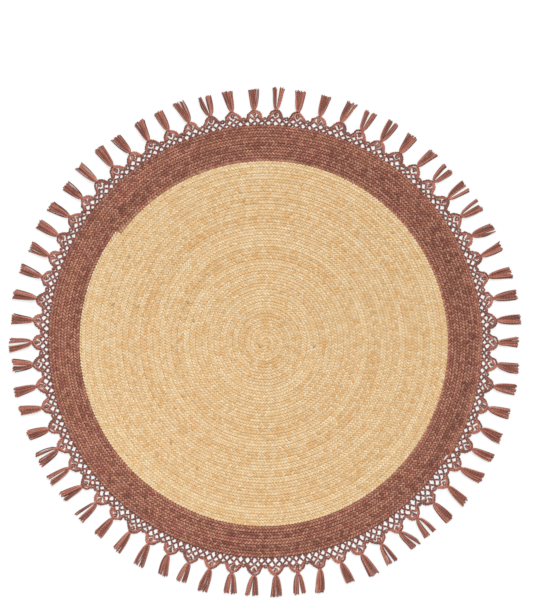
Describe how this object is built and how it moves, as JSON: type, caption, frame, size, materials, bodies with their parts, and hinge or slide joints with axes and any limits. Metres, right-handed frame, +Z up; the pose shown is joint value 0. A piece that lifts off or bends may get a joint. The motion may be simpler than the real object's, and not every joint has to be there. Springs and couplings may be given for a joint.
{
  "type": "area rug",
  "caption": "Round area rug: a flat coil of jute braid with a dyed border, a cotton net edge and tassels that lift.",
  "frame": {"origin": "centre of the rug on the floor it lies on", "axes": "+Z up, square to the rug; +X and +Y in the floor, +X through the middle of a tassel"},
  "size_m": [1.1982, 1.1976, 0.008],
  "materials": {
    "natural_jute": "undyed jute ribbon, dry and fibrous",
    "dyed_jute": "unevenly dyed jute ribbon, dry and fibrous",
    "natural_thread": "matt pale sewing thread",
    "dyed_thread": "matt dyed sewing thread",
    "cotton_cord": "matt twisted cotton"
  },
  "bodies": {
    "rug": {"natural_braid": "natural_jute", "dyed_braid": "dyed_jute", "natural_seam_thread": "natural_thread", "dyed_seam_thread": "dyed_thread", "foundation_cord": "cotton_cord", "first_net_round": "cotton_cord"},
    "fringe_01": {"fringe_01": "cotton_cord"},
    "fringe_02": {"fringe_02": "cotton_cord"},
    "fringe_03": {"fringe_03": "cotton_cord"},
    "fringe_04": {"fringe_04": "cotton_cord"},
    "fringe_05": {"fringe_05": "cotton_cord"},
    "fringe_06": {"fringe_06": "cotton_cord"},
    "fringe_07": {"fringe_07": "cotton_cord"},
    "fringe_08": {"fringe_08": "cotton_cord"},
    "fringe_09": {"fringe_09": "cotton_cord"},
    "fringe_10": {"fringe_10": "cotton_cord"},
    "fringe_11": {"fringe_11": "cotton_cord"},
    "fringe_12": {"fringe_12": "cotton_cord"},
    "fringe_13": {"fringe_13": "cotton_cord"},
    "fringe_14": {"fringe_14": "cotton_cord"},
    "fringe_15": {"fringe_15": "cotton_cord"},
    "fringe_16": {"fringe_16": "cotton_cord"},
    "fringe_17": {"fringe_17": "cotton_cord"},
    "fringe_18": {"fringe_18": "cotton_cord"},
    "fringe_19": {"fringe_19": "cotton_cord"},
    "fringe_20": {"fringe_20": "cotton_cord"},
    "fringe_21": {"fringe_21": "cotton_cord"},
    "fringe_22": {"fringe_22": "cotton_cord"}
  },
  "joints": [
    {"name": "fringe_01_lift", "type": "hinge", "parent": "rug", "child": "fringe_01", "pos_m": [0.5151, 0, 0.0043], "axis": [0, -1, 0], "range_deg": [0, 90]},
    {"name": "fringe_02_lift", "type": "hinge", "parent": "rug", "child": "fringe_02", "pos_m": [0.49423, 0.14512, 0.0043], "axis": [0.2817, -0.9595, 0], "range_deg": [0, 90]},
    {"name": "fringe_03_lift", "type": "hinge", "parent": "rug", "child": "fringe_03", "pos_m": [0.43333, 0.27848, 0.0043], "axis": [0.5406, -0.8413, 0], "range_deg": [0, 90]},
    {"name": "fringe_04_lift", "type": "hinge", "parent": "rug", "child": "fringe_04", "pos_m": [0.33732, 0.38929, 0.0043], "axis": [0.7557, -0.6549, 0], "range_deg": [0, 90]},
    {"name": "fringe_05_lift", "type": "hinge", "parent": "rug", "child": "fringe_05", "pos_m": [0.21398, 0.46855, 0.0043], "axis": [0.9096, -0.4154, 0], "range_deg": [0, 90]},
    {"name": "fringe_06_lift", "type": "hinge", "parent": "rug", "child": "fringe_06", "pos_m": [0.07331, 0.50986, 0.0043], "axis": [0.9898, -0.1423, 0], "range_deg": [0, 90]},
    {"name": "fringe_07_lift", "type": "hinge", "parent": "rug", "child": "fringe_07", "pos_m": [-0.07331, 0.50986, 0.0043], "axis": [0.9898, 0.1423, 0], "range_deg": [0, 90]},
    {"name": "fringe_08_lift", "type": "hinge", "parent": "rug", "child": "fringe_08", "pos_m": [-0.21398, 0.46855, 0.0043], "axis": [0.9096, 0.4154, 0], "range_deg": [0, 90]},
    {"name": "fringe_09_lift", "type": "hinge", "parent": "rug", "child": "fringe_09", "pos_m": [-0.33732, 0.38929, 0.0043], "axis": [0.7557, 0.6549, 0], "range_deg": [0, 90]},
    {"name": "fringe_10_lift", "type": "hinge", "parent": "rug", "child": "fringe_10", "pos_m": [-0.43333, 0.27848, 0.0043], "axis": [0.5406, 0.8413, 0], "range_deg": [0, 90]},
    {"name": "fringe_11_lift", "type": "hinge", "parent": "rug", "child": "fringe_11", "pos_m": [-0.49423, 0.14512, 0.0043], "axis": [0.2817, 0.9595, 0], "range_deg": [0, 90]},
    {"name": "fringe_12_lift", "type": "hinge", "parent": "rug", "child": "fringe_12", "pos_m": [-0.5151, 0, 0.0043], "axis": [0, 1, 0], "range_deg": [0, 90]},
    {"name": "fringe_13_lift", "type": "hinge", "parent": "rug", "child": "fringe_13", "pos_m": [-0.49423, -0.14512, 0.0043], "axis": [-0.2817, 0.9595, 0], "range_deg": [0, 90]},
    {"name": "fringe_14_lift", "type": "hinge", "parent": "rug", "child": "fringe_14", "pos_m": [-0.43333, -0.27848, 0.0043], "axis": [-0.5406, 0.8413, 0], "range_deg": [0, 90]},
    {"name": "fringe_15_lift", "type": "hinge", "parent": "rug", "child": "fringe_15", "pos_m": [-0.33732, -0.38929, 0.0043], "axis": [-0.7557, 0.6549, 0], "range_deg": [0, 90]},
    {"name": "fringe_16_lift", "type": "hinge", "parent": "rug", "child": "fringe_16", "pos_m": [-0.21398, -0.46855, 0.0043], "axis": [-0.9096, 0.4154, 0], "range_deg": [0, 90]},
    {"name": "fringe_17_lift", "type": "hinge", "parent": "rug", "child": "fringe_17", "pos_m": [-0.07331, -0.50986, 0.0043], "axis": [-0.9898, 0.1423, 0], "range_deg": [0, 90]},
    {"name": "fringe_18_lift", "type": "hinge", "parent": "rug", "child": "fringe_18", "pos_m": [0.07331, -0.50986, 0.0043], "axis": [-0.9898, -0.1423, 0], "range_deg": [0, 90]},
    {"name": "fringe_19_lift", "type": "hinge", "parent": "rug", "child": "fringe_19", "pos_m": [0.21398, -0.46855, 0.0043], "axis": [-0.9096, -0.4154, 0], "range_deg": [0, 90]},
    {"name": "fringe_20_lift", "type": "hinge", "parent": "rug", "child": "fringe_20", "pos_m": [0.33732, -0.38929, 0.0043], "axis": [-0.7557, -0.6549, 0], "range_deg": [0, 90]},
    {"name": "fringe_21_lift", "type": "hinge", "parent": "rug", "child": "fringe_21", "pos_m": [0.43333, -0.27848, 0.0043], "axis": [-0.5406, -0.8413, 0], "range_deg": [0, 90]},
    {"name": "fringe_22_lift", "type": "hinge", "parent": "rug", "child": "fringe_22", "pos_m": [0.49423, -0.14512, 0.0043], "axis": [-0.2817, -0.9595, 0], "range_deg": [0, 90]}
  ]
}
